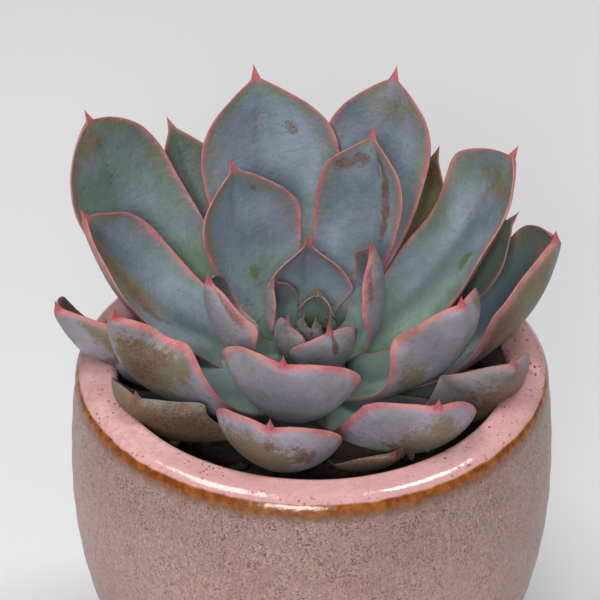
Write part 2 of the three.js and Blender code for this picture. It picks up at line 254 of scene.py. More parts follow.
def finish_piece(name, points, faces, replaced, material, attributes):
    """Makes a smooth mesh from points in millimetres with its material, ties it to the body, and hides the
    CAD node it replaces.
    """
    mesh = bpy.data.meshes.new(name)
    mesh.from_pydata((np.asarray(points) * MM).tolist(), [], [list(map(int, f)) for f in faces])
    for key, values in attributes.items():
        layer = mesh.attributes.new(key, "FLOAT", "POINT")
        layer.data.foreach_set("value", np.asarray(values, dtype=np.float32).ravel())
    mesh.shade_smooth()
    mesh.materials.append(material)
    piece = bpy.data.objects.new(name, mesh)
    bpy.context.collection.objects.link(piece)
    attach(piece, "root")
    if replaced:
        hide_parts(replaced)


def ring_faces(rings, count):
    """Quads between rings of the same count of points."""
    ring, point = np.meshgrid(np.arange(rings - 1), np.arange(count), indexing="ij")
    a = ring * count + point
    b = ring * count + (point + 1) % count
    return np.stack([a, a + count, b + count, b], axis=-1).reshape(-1, 4).tolist()


# ---------------------------------------------------------------- materials


class Nodes:
    """The node tree of one material, with short ways to add what repeats."""

    def __init__(self, name):
        self.material = bpy.data.materials.new(name)
        self.material.use_nodes = True
        self.tree = self.material.node_tree
        self.shader = self.tree.nodes["Principled BSDF"]

    def add(self, kind, values=None, output=0, **settings):
        node = self.tree.nodes.new("ShaderNode" + kind)
        for key, value in settings.items():
            setattr(node, key, value)
        for key, value in (values or {}).items():
            self.put(node.inputs[key], value)
        return node.outputs[output]

    def put(self, socket, value):
        if isinstance(value, bpy.types.NodeSocket):
            self.tree.links.new(value, socket)
        elif isinstance(value, tuple) and len(value) == 3 and socket.type == "RGBA":
            socket.default_value = (*value, 1)
        else:
            socket.default_value = value

    def set(self, **values):
        for key, value in values.items():
            self.put(self.shader.inputs[key.replace("_", " ")], value)

    def attribute(self, name):
        return self.add("Attribute", output=2, attribute_name=name)

    def place(self):
        """The point in millimetres, in the object's own frame."""
        point = self.add("TexCoord", output=3)
        return self.add("VectorMath", {0: point, "Scale": 1 / MM}, operation="SCALE")

    def stretch(self, vector, scale):
        return self.add("VectorMath", {0: vector, 1: scale}, operation="MULTIPLY")

    def combine(self, x, y, z):
        return self.add("CombineXYZ", {0: x, 1: y, 2: z})

    def math(self, operation, a, b=0.0, clamp=False):
        return self.add("Math", {0: a, 1: b}, operation=operation, use_clamp=clamp)

    def noise(self, vector, scale, detail, rough):
        values = {"Vector": vector, "Scale": scale, "Detail": detail, "Roughness": rough}
        return self.add("TexNoise", values)

    def cells(self, vector, scale):
        return self.add("TexVoronoi", {"Vector": vector, "Scale": scale})

    def level(self, value, low, high, to_low=0.0, to_high=1.0):
        values = {"Value": value, 1: low, 2: high, 3: to_low, 4: to_high}
        return self.add("MapRange", values, interpolation_type="SMOOTHSTEP")

    def blend(self, factor, a, b):
        return self.add("Mix", {0: factor, 6: a, 7: b}, output=2, data_type="RGBA")

    def times(self, *values):
        product = values[0]
        for value in values[1:]:
            product = self.math("MULTIPLY", product, value)
        return product

    def bump(self, height, distance):
        return self.add("Bump", {"Height": height, "Distance": distance * MM, "Strength": 1.0})


def upper_tone(n, place, along, clouds, small_clouds):
    """Upper side: green towards the foot, blue-grey bloom above it, lilac where it is thickest, and painted
    shade down the middle channel.
    """
    across = n.attribute("across")
    base_green = n.blend(n.level(clouds, 0.35, 0.65), (0.105, 0.165, 0.12), (0.195, 0.285, 0.21))
    softly = n.noise(place, 0.11, 2, 0.5)
    bloom = n.blend(n.level(softly, 0.3, 0.7), (0.10, 0.142, 0.175), (0.19, 0.237, 0.295))
    violet = n.times(n.level(n.noise(place, 0.13, 2, 0.5), 0.48, 0.66), n.level(along, 0.4, 0.8), 0.6)
    bloom = n.blend(violet, bloom, (0.20, 0.17, 0.24))
    greener = n.math("ADD", n.level(clouds, 0.3, 0.7), n.level(along, 0.1, 0.7))
    greener = n.math("SUBTRACT", greener, n.attribute("green"), clamp=True)
    top = n.blend(greener, base_green, bloom)
    # Painted shade: the middle of the upper side is darkened along the channel, fading out towards the tip.
    channel_shade = n.times(n.level(n.math("ABSOLUTE", across), 0.5, 0.0), n.level(along, 0.97, 0.6), 0.5)
    top = n.blend(channel_shade, top, (0.07, 0.10, 0.11))
    wider = n.level(n.attribute("edge"), 4.6, 1.2)
    mossy = n.times(wider, n.level(small_clouds, 0.3, 0.58), n.level(along, 0.4, 0.85), 0.75)
    return n.blend(mossy, top, (0.15, 0.155, 0.075))


def under_tone(n, clouds, small_clouds):
    """Underside: lilac-grey bloom over grey-green."""
    lilac_tone = n.blend(n.level(clouds, 0.35, 0.65), (0.235, 0.21, 0.265), (0.325, 0.295, 0.37))
    grey_tone = n.blend(n.level(small_clouds, 0.35, 0.65), (0.16, 0.16, 0.145), (0.215, 0.205, 0.205))
    lilac_part = n.math("MULTIPLY", n.level(small_clouds, 0.2, 0.7, 0.55, 1.0), n.attribute("lilac"))
    return n.blend(lilac_part, grey_tone, lilac_tone)


def thin_bloom(n, place, colour, streaks, grain):
    """The bloom is thinner in streaks, wiped away in fine specks, and darkened by painted shade on leaves
    that lie in shade.
    """
    thin = n.level(streaks, 0.5, 0.78)
    colour = n.blend(n.times(thin, 0.4), colour, (0.10, 0.125, 0.10))
    dusty = n.level(grain, 0.52, 0.66)
    colour = n.blend(n.times(dusty, 0.14), colour, (0.28, 0.29, 0.31))
    dots = n.level(n.noise(place, 1.7, 2, 0.6), 0.63, 0.70)
    some = n.level(n.noise(place, 0.2, 2, 0.5), 0.46, 0.62)
    colour = n.blend(n.times(dots, some, 0.6), colour, (0.085, 0.075, 0.045))
    # Painted shade: whole leaves deep in the rosette, at the back or under others are darkened.
    return n.blend(n.times(n.attribute("painted_shade"), 0.72), colour, (0.035, 0.045, 0.018))


def scarred_skin(n, place, colour, small_clouds, grain):
    """Rubbed and scarred patches with ragged outlines. Gives the colour and where the brown scars are."""
    ragged = n.math("SUBTRACT", n.noise(place, 0.55, 4, 0.7), 0.5)
    fine = n.math("SUBTRACT", n.noise(place, 2.6, 3, 0.6), 0.5)

    def patch(kind, low, high):
        value = n.math("ADD", n.attribute(kind), n.math("MULTIPLY", ragged, 1.3))
        value = n.math("ADD", value, n.math("MULTIPLY", fine, 0.8))
        return n.level(value, low, high)

    olive = patch("olive", 0.2, 0.7)
    brown = patch("brown", 0.34, 0.75)
    rubbed = patch("rubbed", 0.45, 0.6)
    olive_tone = n.blend(n.level(small_clouds, 0.38, 0.62), (0.165, 0.105, 0.048), (0.14, 0.135, 0.042))
    brown_tone = n.blend(n.level(grain, 0.35, 0.65), (0.095, 0.05, 0.028), (0.17, 0.10, 0.06))
    colour = n.blend(n.times(olive, 0.85), colour, olive_tone)
    colour = n.blend(n.times(brown, 0.9), colour, brown_tone)
    colour = n.blend(n.times(rubbed, 0.9), colour, (0.075, 0.11, 0.035))
    colour = n.blend(n.level(n.attribute("yellow"), 0.4, 0.8), colour, (0.52, 0.42, 0.04))
    return colour, brown


def pink_margins(n, place, along, colour):
    """Coral-pink margins and the red tip. Gives the colour and where the pink line is."""
    pink = n.attribute("pink")
    wander = n.level(n.noise(place, 0.16, 2, 0.5), 0.3, 0.7, 0.6, 1.4)
    reach = n.math("DIVIDE", n.attribute("edge"), wander)
    blush = n.times(n.level(reach, 1.9, 0.2), n.level(along, 0.3, 0.85), pink, 0.42)
    colour = n.blend(blush, colour, (0.31, 0.15, 0.18))
    rim = n.times(n.level(reach, 0.85, 0.2), n.level(along, 0.08, 0.5, 0.3, 1.0), pink, 0.88)
    orange_part = n.level(n.noise(place, 0.4, 3, 0.6), 0.35, 0.65)
    rim_tone = n.blend(orange_part, (0.43, 0.105, 0.135), (0.46, 0.19, 0.14))
    colour = n.blend(rim, colour, rim_tone)
    tip = n.times(n.level(n.attribute("tip"), 2.9, 0.8), n.level(pink, 0.0, 0.5, 0.3, 1.0))
    return n.blend(n.times(tip, 0.85), colour, (0.46, 0.075, 0.095)), rim


def leaf_material():
    n = Nodes("leaf_skin")
    place = n.place()
    along = n.attribute("along")
    wide = n.math("MULTIPLY", n.attribute("across"), 9.0)
    lengthwise = n.combine(wide, n.math("MULTIPLY", along, 3.0), n.attribute("seed"))
    streaks = n.noise(lengthwise, 1.0, 4, 0.6)
    clouds = n.noise(place, 0.09, 3, 0.55)
    small_clouds = n.noise(place, 0.22, 3, 0.6)
    grain = n.noise(place, 2.2, 3, 0.65)

    top = upper_tone(n, place, along, clouds, small_clouds)
    colour = n.blend(n.attribute("upper"), under_tone(n, clouds, small_clouds), top)
    colour = thin_bloom(n, place, colour, streaks, grain)
    colour, brown = scarred_skin(n, place, colour, small_clouds, grain)
    colour, rim = pink_margins(n, place, along, colour)

    rough = n.level(grain, 0.3, 0.7, 0.50, 0.64)
    rough = n.math("SUBTRACT", rough, n.times(brown, 0.16))
    rough = n.math("SUBTRACT", rough, n.times(rim, 0.10))
    height = n.math("ADD", n.times(grain, 0.35), n.times(n.noise(place, 0.6, 2, 0.5), 1.0))
    height = n.math("SUBTRACT", height, n.times(brown, 0.5))
    height = n.math("ADD", height, n.times(streaks, 0.25))
    n.set(Base_Color=colour, Roughness=rough, Normal=n.bump(height, 0.22))
    n.set(Subsurface_Weight=0.12, Subsurface_Scale=0.0015, Subsurface_Radius=(1.0, 0.6, 0.5))
    n.set(Specular_IOR_Level=0.42, Sheen_Weight=0.05, Sheen_Roughness=0.5)
    return n.material


def glaze_body(n, place, run, drift):
    """Body: rough pinkish glaze, densely freckled in tan, grey and brown. Gives colour, grey, flecks."""
    body = n.blend(n.level(drift, 0.35, 0.65), (0.385, 0.205, 0.195), (0.455, 0.265, 0.245))
    milky = n.level(n.noise(place, 0.16, 3, 0.6), 0.48, 0.66)
    body = n.blend(n.times(milky, 0.5), body, (0.40, 0.285, 0.31))
    run_down = n.stretch(place, (1.0, 1.0, 0.55))
    crowd = n.level(run, -26.0, -2.0, 0.0, 0.07)
    tan = n.level(n.math("ADD", n.noise(run_down, 1.9, 4, 0.7), crowd), 0.45, 0.6)
    body = n.blend(n.times(tan, 0.6), body, (0.29, 0.165, 0.10))
    grey = n.level(n.math("ADD", n.noise(run_down, 2.6, 3, 0.7), crowd), 0.50, 0.60)
    body = n.blend(n.times(grey, 0.5), body, (0.18, 0.125, 0.13))
    pale = n.level(n.noise(place, 2.2, 2, 0.6), 0.56, 0.66)
    body = n.blend(n.times(pale, 0.35), body, (0.58, 0.40, 0.375))
    fleck = n.level(n.math("ADD", n.noise(place, 2.3, 2, 0.75), n.times(crowd, 0.4)), 0.585, 0.635)
    patchy = n.level(n.noise(place, 0.3, 3, 0.6), 0.40, 0.58, 0.35, 1.0)
    flecks = n.times(fleck, patchy)
    return n.blend(n.times(flecks, 0.85), body, (0.09, 0.045, 0.03)), grey, flecks


def glaze_rim(n, place, drift):
    """Rim: thick glossy pale-pink glaze with iron specks and a fine grey stipple."""
    rim = n.blend(n.level(drift, 0.35, 0.65), (0.53, 0.285, 0.275), (0.62, 0.355, 0.34))
    mottle = n.level(n.noise(place, 0.8, 4, 0.65), 0.42, 0.66)
    rim = n.blend(n.times(mottle, 0.55), rim, (0.46, 0.245, 0.235))
    stipple = n.level(n.noise(place, 2.0, 3, 0.7), 0.56, 0.66)
    rim = n.blend(n.times(stipple, 0.45), rim, (0.34, 0.19, 0.17))
    clustered = n.level(n.noise(place, 0.07, 2, 0.5), 0.36, 0.56, 0.15, 1.0)
    uneven = n.math("MULTIPLY", n.noise(place, 2.5, 2, 0.6), 0.12)
    spot_size = n.level(n.noise(place, 0.5, 2, 0.5), 0.40, 0.60, 0.08, 0.27)
    spot_edge = n.math("SUBTRACT", n.math("ADD", n.cells(place, 1.0), uneven), spot_size)
    iron = n.level(spot_edge, 0.08, 0.02)
    return n.blend(n.times(iron, clustered, 0.9), rim, (0.13, 0.03, 0.02))


def amber_line(n, place, line, body, rim):
    """Amber line where the thick glaze breaks over the corner, with a brown fringe running down."""
    drips = n.math("SUBTRACT", n.noise(n.stretch(place, (1.0, 1.0, 0.15)), 1.1, 3, 0.6), 0.5)
    lower = n.math("ADD", line, n.math("MULTIPLY", drips, 2.2))
    colour = n.blend(n.level(line, 0.2, 0.75), body, rim)
    fringe = n.math("MULTIPLY", n.level(lower, -3.4, -1.4), n.level(line, 0.4, -0.6))
    colour = n.blend(n.times(fringe, 0.8), colour, (0.17, 0.07, 0.025))
    amber = n.math("MULTIPLY", n.level(lower, -1.9, -1.1), n.level(line, 0.8, 0.3))
    amber_part = n.level(n.noise(place, 0.6, 3, 0.6), 0.35, 0.65)
    amber_tone = n.blend(amber_part, (0.16, 0.036, 0.003), (0.30, 0.088, 0.008))
    return n.blend(amber, colour, amber_tone)


def glaze_material():
    n = Nodes("stoneware_glaze")
    place = n.place()
    run = n.attribute("run")
    drift = n.noise(place, 0.05, 3, 0.5)
    body, grey, flecks = glaze_body(n, place, run, drift)
    rim = glaze_rim(n, place, drift)
    waver = n.math("SUBTRACT", n.noise(place, 0.3, 3, 0.55), 0.5)
    line = n.math("ADD", run, n.math("MULTIPLY", waver, 0.8))
    line = n.math("ADD", line, 0.35)
    colour = amber_line(n, place, line, body, rim)

    # Bare clay at the foot, and the inside wall darker further below the rim.
    ragged_height = n.math("ADD", n.attribute("height"), n.math("MULTIPLY", waver, 1.4))
    foot = n.level(ragged_height, 2.6, 1.9)
    colour = n.blend(foot, colour, n.blend(grey, (0.42, 0.31, 0.22), (0.30, 0.22, 0.16)))
    inside = n.level(run, 12.0, 22.0)
    colour = n.blend(n.times(inside, 0.5), colour, (0.20, 0.13, 0.11))

    satin = n.level(n.noise(place, 1.5, 3, 0.6), 0.35, 0.65, 0.36, 0.5)
    rough = n.add("Mix", {0: n.level(line, -1.5, 0.0), 2: satin, 3: 0.13})
    rough = n.add("Mix", {0: foot, 2: rough, 3: 0.8})
    pits = n.times(n.noise(place, 1.6, 3, 0.6), n.level(line, 0.3, -1.2, 0.12, 1.0))
    orange_peel = n.noise(place, 0.22, 2, 0.5)
    height = n.math("ADD", pits, n.times(orange_peel, 1.2))
    height = n.math("SUBTRACT", height, n.times(flecks, 0.35, n.level(line, 0.3, -1.2)))
    n.set(Base_Color=colour, Roughness=rough, Normal=n.bump(height, 0.16))
    n.set(Specular_IOR_Level=0.55, Coat_Weight=0.1, Coat_Roughness=0.2)
    return n.material


def soil_material():
    n = Nodes("potting_mix")
    place = n.place()
    shade = n.level(n.noise(place, 0.5, 4, 0.7), 0.35, 0.65)
    colour = n.blend(shade, (0.018, 0.011, 0.007), (0.06, 0.036, 0.022))
    fibre = n.level(n.noise(n.stretch(place, (0.4, 2.2, 1.0)), 1.4, 3, 0.6), 0.58, 0.66)
    colour = n.blend(n.times(fibre, 0.7), colour, (0.13, 0.075, 0.04))
    tone = n.attribute("tone")
    colour = n.blend(tone, colour, n.blend(shade, (0.30, 0.27, 0.23), (0.42, 0.39, 0.34)))
    height = n.noise(place, 1.2, 5, 0.75)
    rough = n.level(shade, 0.0, 1.0, 0.8, 0.95)
    n.set(Base_Color=colour, Roughness=rough, Normal=n.bump(height, 0.5))
    return n.material


def stem_material():
    n = Nodes("stem_bark")
    place = n.place()
    ring = n.noise(n.stretch(place, (0.3, 0.3, 1.6)), 1.0, 3, 0.6)
    young = n.level(n.attribute("height"), -8.0, 4.0)
    bark = n.blend(n.level(ring, 0.4, 0.6), (0.13, 0.085, 0.05), (0.23, 0.165, 0.10))
    flesh = n.blend(n.level(ring, 0.4, 0.6), (0.13, 0.19, 0.10), (0.21, 0.27, 0.16))
    colour = n.blend(young, bark, flesh)
    height = n.noise(place, 1.6, 4, 0.65)
    n.set(Base_Color=colour, Roughness=n.level(ring, 0.3, 0.7, 0.6, 0.85), Normal=n.bump(height, 0.3))
    return n.material


def floor_material():
    n = Nodes("pale_floor")
    point = n.add("TexCoord", output=3)
    soft = n.noise(point, 3.0, 3, 0.5)
    colour = n.blend(n.level(soft, 0.3, 0.7), (0.62, 0.62, 0.62), (0.66, 0.66, 0.66))
    n.set(Base_Color=colour, Roughness=0.7)
    return n.material


# ---------------------------------------------------------------- pot, soil and stem


def wall_radius(z):
    above = (z - BELLY_HEIGHT) / (POT_HEIGHT - BELLY_HEIGHT)
    if above > 0:
        return BELLY_RADIUS - (BELLY_RADIUS - RIM_RADIUS) * above**2
    below = (BELLY_HEIGHT - z) / BELLY_HEIGHT * math.sqrt(1 - (FOOT_RADIUS / BELLY_RADIUS) ** 2)
    return BELLY_RADIUS * math.sqrt(1 - below**2)


def arc(r, z, radius, start, end, steps):
    angles = np.radians(np.linspace(start, end, steps + 1))
    return [(r + radius * math.cos(a), z + radius * math.sin(a)) for a in angles]


def lathe(profile, segments, wobble):
    """Rings round +Z through a profile of (radius, height), the two ends closed at the axis."""
    profile = np.array(profile)
    turn = np.linspace(0, TURN, segments, endpoint=False)
    radius, height = wobble(profile[:, :1], profile[:, 1:], turn[None, :])
    points = np.stack([radius * np.cos(turn), radius * np.sin(turn), height], axis=-1)
    rings = len(profile)
    faces = [face[::-1] for face in ring_faces(rings, segments)]
    points = points.reshape(-1, 3)
    first, last = len(points), len(points) + 1
    start = np.array([[0, 0, points[:segments, 2].mean()]])
    end = np.array([[0, 0, points[-segments:, 2].mean()]])
    points = np.concatenate([points, start, end])
    top = (rings - 1) * segments
    for k in range(segments):
        following = (k + 1) % segments
        faces.append([first, following, k])
        faces.append([last, top + k, top + following])
    return points, faces


def make_pot(material):
    shoulder = POT_HEIGHT - RIM_ROUND
    turn_in = POT_HEIGHT - LIP_ROUND
    outside = [(wall_radius(z), z) for z in np.linspace(FOOT_ROUND, turn_in - 0.3, 60)]
    foot = arc(wall_radius(FOOT_ROUND) - FOOT_ROUND, FOOT_ROUND, FOOT_ROUND, -88, -8, 6)
    outer = arc(wall_radius(turn_in) - LIP_ROUND, turn_in, LIP_ROUND, 4, 90, 16)
    inner_rim = RIM_RADIUS - RIM_WIDTH
    top = [(r, POT_HEIGHT) for r in np.linspace(outer[-1][0], inner_rim + RIM_ROUND, 8)[1:-1]]
    inner = arc(inner_rim + RIM_ROUND, shoulder, RIM_ROUND, 90, 170, 10)
    inside = [(wall_radius(z) - WALL, z) for z in np.linspace(shoulder - 2.5, FLOOR + WALL, 16)]
    flat = [(r, 0.0) for r in (6.0, 12.0, 18.0, 22.0)]
    floor = [(r, FLOOR) for r in (inside[-1][0] - WALL, 14.0, 7.0)]
    profile = flat + foot + outside + outer + top + inner + inside + floor
    steps = np.linalg.norm(np.diff(np.array(profile), axis=0), axis=1)
    run = np.concatenate([[0], np.cumsum(steps)])
    corner = len(flat) + len(foot) + len(outside) + 6

    def thrown(radius, height, turn):
        lift = np.clip(height / POT_HEIGHT, 0, 1)
        uneven = 0.12 * np.sin(2 * turn + 0.6 + 1.3 * lift) + 0.05 * np.sin(5 * turn + 2.1)
        rings = 0.05 * np.sin(height * 1.1 + 0.4 * np.sin(turn))
        scale = np.clip((radius - 20) / 15, 0, 1)
        sag = 0.1 * np.sin(turn * 2 + 1.0) * np.clip((height - 60) / 12, 0, 1)
        return radius + (uneven * lift + rings) * scale, height + sag * (radius > 30)

    points, faces = lathe(profile, POT_SEGMENTS, thrown)
    run_mm = np.repeat(run - run[corner], POT_SEGMENTS)
    attributes = {
        "run": np.concatenate([run_mm, [-AWAY_FROM_RIM, AWAY_FROM_RIM]]),
        "height": np.concatenate([points[:-2, 2], [0, FLOOR]]),
    }
    finish_piece("glazed_pot", points, faces, "pot", material, attributes)


def make_soil(material):
    rng = np.random.default_rng(7)
    top = POT_HEIGHT - SOIL_BELOW_RIM
    edge = wall_radius(top) - WALL - 2 * GAP
    sides = [(wall_radius(z) - WALL - 2 * GAP, z) for z in np.linspace(FLOOR + WALL, top - 1, 8)]
    surface = [(edge * share, top + HUMP * (1 - share)) for share in np.linspace(1, 0.04, 46)]
    profile = [(4.0, FLOOR + GAP), (sides[0][0] - WALL, FLOOR + GAP)] + sides + surface
    waves = [(rng.uniform(0.25, 1.7), rng.uniform(0, TURN), rng.uniform(0, TURN)) for _ in range(34)]

    def crumbled(radius, height, turn):
        x, y = radius * np.cos(turn), radius * np.sin(turn)
        lumps = 0
        for pitch, way, phase in waves:
            ahead = x * math.cos(way) + y * math.sin(way)
            lumps = lumps + 0.16 / (0.5 + pitch) * np.sin(pitch * ahead + phase)
        on_top = np.clip((height - top + 0.5) / 0.5, 0, 1)
        return radius + 0 * turn, height + lumps * on_top

    points, faces = lathe(profile, SOIL_SEGMENTS, crumbled)
    attributes = {"tone": np.zeros(len(points))}
    finish_piece("soil_bed", points, faces, "potting_mix", material, attributes)
    make_grains(material, rng, top, edge)


# Each side of a chip: its four corners, and the outward point that crowns it.
CHIP_SIDES = [
    ((0, 1, 3, 2), 1),
    ((4, 6, 7, 5), 0),
    ((0, 4, 5, 1), 3),
    ((2, 3, 7, 6), 2),
    ((0, 2, 6, 4), 5),
    ((1, 5, 7, 3), 4),
]


def make_grains(material, rng, top, edge):
    """Bark chips and a little pale pumice lying on the soil, as one mesh of separate closed chips."""
    ico = np.array([(1, 0, 0), (-1, 0, 0), (0, 1, 0), (0, -1, 0), (0, 0, 1), (0, 0, -1)], dtype=float)
    corners = np.array([(x, y, z) for x in (-1, 1) for y in (-1, 1) for z in (-1, 1)]) * 0.62
    shape = np.concatenate([ico, corners])
    points, faces, tones = [], [], []
    for _ in range(GRAINS):
        radius = edge * math.sqrt(rng.uniform(0.1, 0.86))
        turn = rng.uniform(0, TURN)
        size = rng.uniform(0.5, 1.5)
        pale = 1.0 if rng.uniform() < PALE_GRAINS else 0.0
        squash = rng.uniform(0.5, 1.1, 3) * size
        jitter = rng.uniform(0.8, 1.2, (len(shape), 1))
        spin = rng.uniform(0, TURN)
        chip = shape * jitter * squash
        x = chip[:, 0] * math.cos(spin) - chip[:, 1] * math.sin(spin)
        y = chip[:, 0] * math.sin(spin) + chip[:, 1] * math.cos(spin)
        lift = top + HUMP * (1 - radius / edge) + 0.25 * size
        place = np.array([radius * math.cos(turn), radius * math.sin(turn), lift])
        offset = len(points)
        points.extend((np.stack([x, y, chip[:, 2]], axis=-1) + place).tolist())
        tones.extend([pale] * len(shape))
        for side, crown in CHIP_SIDES:
            for k in range(4):
                a, b = side[k] + len(ico), side[(k + 1) % 4] + len(ico)
                faces.append([offset + a, offset + b, offset + crown])
    finish_piece("soil_grains", points, faces, None, material, {"tone": tones})


def stem_radius(h):
    up = (h - STEM_SHOULDER) / (STEM_TOP - STEM_SHOULDER)
    return STEM_RADIUS * math.sqrt(max(1 - max(up, 0) ** 1.6, 0))


def lean(points):
    """From the rosette's frame to the pot's: it leans to the front and stands near the rim."""
    tilt = math.radians(LEAN)
    x, y, z = np.moveaxis(points, -1, 0)
    turned_y = y * math.cos(tilt) - z * math.sin(tilt)
    turned_z = y * math.sin(tilt) + z * math.cos(tilt)
    return np.stack([x, turned_y, turned_z + POT_HEIGHT - CROWN_BELOW_RIM], axis=-1)


def make_stem(material):
    heights = np.linspace(STEM_BOTTOM, STEM_TOP - 0.15, 70)
    profile = [(stem_radius(h) - 0.1, h) for h in heights]

    def scarred(radius, height, turn):
        scars = 0.18 * np.sin(height * 2.4 + 3 * turn) * np.sin(8 * turn + height)
        return radius * (1 + 0.02 * np.sin(3 * turn)) + scars * np.clip(radius / 3, 0, 1), height + 0 * turn

    points, faces = lathe(profile, STEM_SEGMENTS, scarred)
    attributes = {"height": points[:, 2].copy()}
    finish_piece("stem_core", lean(points), faces, "stem", material, attributes)


# ---------------------------------------------------------------- leaves

# Where rings lie along a leaf, closer together at the tip, and points across it, closer at the margins.
ALONG = np.sin(np.linspace(0, math.pi / 2, 62)) ** 0.94
ACROSS = np.sin(np.linspace(-math.pi / 2, math.pi / 2, 29))


def round_section(over, right, under, left):
    """Values round a leaf's section: its upper side, one margin, its underside and the other margin."""
    return np.concatenate([over, [right], under, [left]])


FLAT = np.zeros_like(ACROSS)
OFF_MIDDLE = np.abs(ACROSS[::-1])
PLACE_ACROSS = round_section(ACROSS, 1, ACROSS[::-1], -1)
UPPER_SIDE = round_section(FLAT + 1, 0.5, FLAT, 0.5)
LIFT = round_section(FLAT + 0.5, 0, FLAT - 0.5, 0)
SWELL = round_section(FLAT, 0, (1 - OFF_MIDDLE**2) ** 0.7, 0)
KEEL = round_section(FLAT, 0, 1 - OFF_MIDDLE, 0)
OUTWARD = round_section(FLAT, 1, FLAT, -1)


def bezier(handles, t):
    a, b, c, d = (h[None, :] for h in handles)
    t = t[:, None]
    at = a * (1 - t) ** 3 + 3 * b * t * (1 - t) ** 2 + 3 * c * t**2 * (1 - t) + d * t**3
    along = 3 * (b - a) * (1 - t) ** 2 + 6 * (c - b) * t * (1 - t) + 3 * (d - c) * t**2
    return at, unit(along)


def outline(t, point, widest):
    rising = FOOT_SHARE + (1 - FOOT_SHARE) * smooth(t / widest)
    u = np.clip((t - widest) / (1 - widest), 0, 1)
    falling = np.clip(1 - u**TIP_FALL, 0, 1) ** point
    return np.where(t < widest, rising, falling)


def marks_on(number, along, across, upper):
    """The strength of each kind of mark at every point of a leaf."""
    fields = {kind: np.zeros_like(along) for kind in ("brown", "olive", "rubbed", "yellow")}
    for kind, t, s, size_t, size_s, side, strength in MARKS.get(number, []):
        far = ((along - t) / size_t) ** 2 + ((across - s) / size_s) ** 2
        near = strength * np.exp(-0.7 * far) * np.where(side > 0, upper, 1 - upper)
        fields[kind] = np.maximum(fields[kind], near)
    return fields


def lift_over_rim(points):
    """A leaf that reaches the pot's rim is bent up to rest on it."""
    radius = np.hypot(points[:, 0], points[:, 1])
    from_middle = np.abs(radius - (RIM_RADIUS - RIM_WIDTH / 2))
    rounded = np.clip(from_middle - (RIM_WIDTH / 2 - LIP_ROUND), 0, LIP_ROUND)
    top = POT_HEIGHT + REST_GAP - (LIP_ROUND - np.sqrt(LIP_ROUND**2 - rounded**2))
    inside = RIM_RADIUS - RIM_WIDTH - radius
    top = np.where(inside > 0, POT_HEIGHT + REST_GAP - LIP_ROUND - RIM_SLOPE * inside, top)
    reached = (radius < RIM_RADIUS + REST_GAP) & (points[:, 2] > POT_HEIGHT - RIM_REACH)
    lifted = points.copy()
    lifted[:, 2] = np.where(reached, np.maximum(points[:, 2], top), points[:, 2])
    return lifted


def leaf_handles(azimuth, twist, seat, climb, reach, rise, finish):
    """The four handles of the curve that a leaf follows from the stem to its tip."""
    out = math.radians(azimuth)
    start = math.radians(azimuth + twist)
    foot = heading(start, 0) * (stem_radius(seat) + GAP)
    foot[2] = seat
    tip = heading(out, 0) * reach
    tip[2] = rise
    span = np.linalg.norm(tip - foot)
    return [
        foot,
        foot + heading(start, math.radians(climb)) * FOOT_HANDLE * span,
        tip - heading(out, math.radians(finish)) * TIP_HANDLE * span,
        tip,
    ]


def curve_length(handles):
    fine, _ = bezier(handles, np.linspace(0, 1, 200))
    return np.linalg.norm(np.diff(fine, axis=0), axis=1).sum()


def leaf_axes(along, azimuth, twist, roll):
    """The directions across the leaf and up from it at each ring."""
    turn = math.radians(azimuth) + math.radians(twist) * (1 - ALONG)
    across = np.stack([np.cos(turn), np.sin(turn), np.zeros_like(turn)], axis=-1)
    across = unit(across - along * (across * along).sum(-1, keepdims=True))
    tilt = (math.radians(roll) * smooth(ALONG / ROLLED_BY))[:, None]
    across = across * np.cos(tilt) + np.cross(along, across) * np.sin(tilt)
    return across, np.cross(along, across)


def half_widths(length, width, point, widest):
    """The place along the blade and half its width at each ring, with the short spine at the tip."""
    blade_share = 1 - SPINE / length
    t = np.clip(ALONG / blade_share, 0, 1)
    blade = np.where(ALONG < blade_share, width / 2 * outline(t, point, widest), 0)
    spike = np.clip((1 - ALONG) / (1 - blade_share), 0, SPINE_REACH)
    spine = SPINE_WIDTH * SPINE_SWELL * spike**SPINE_POWER
    spine = spine * smooth((t - 0.6) / 0.3)
    half = (blade**MARGIN_BLEND + spine**MARGIN_BLEND) ** (1 / MARGIN_BLEND)
    return t, np.maximum(half, LEAST_HALF)


def shape_sides(number, half, t, s):
    """Half the width at every point, with the places where this leaf is lopsided."""
    halves = half * np.ones_like(s)
    for side, taken, place, size in SIDES.get(number, []):
        halves = halves * (1 - taken * np.exp(-(((t - place) / size) ** 2)) * (s * side > 0))
    return halves


def leaf_section(half, halves, t, s, width, cup):
    """A cupped section with a thick, keeled underside: how far across and up each point lies."""
    bend = np.radians(cup) * smooth(t / CUPPED_BY) + LEAST_BEND
    thick = (THICK_BASE + THICK_SHARE * width) * (1 - TIP_THINNING * t**3) - EDGE
    thick = np.minimum(thick, half * 1.1)
    rim = np.minimum(EDGE, half * 0.8)
    x = halves / bend * np.sin(s * bend) + OUTWARD * rim * 0.4
    y = halves / bend * (1 - np.cos(s * bend)) + LIFT * rim
    keeled = smooth((t - 0.45) / 0.4) * 0.45
    return x, y - thick * (SWELL * (1 - keeled) + KEEL * keeled * 1.05)


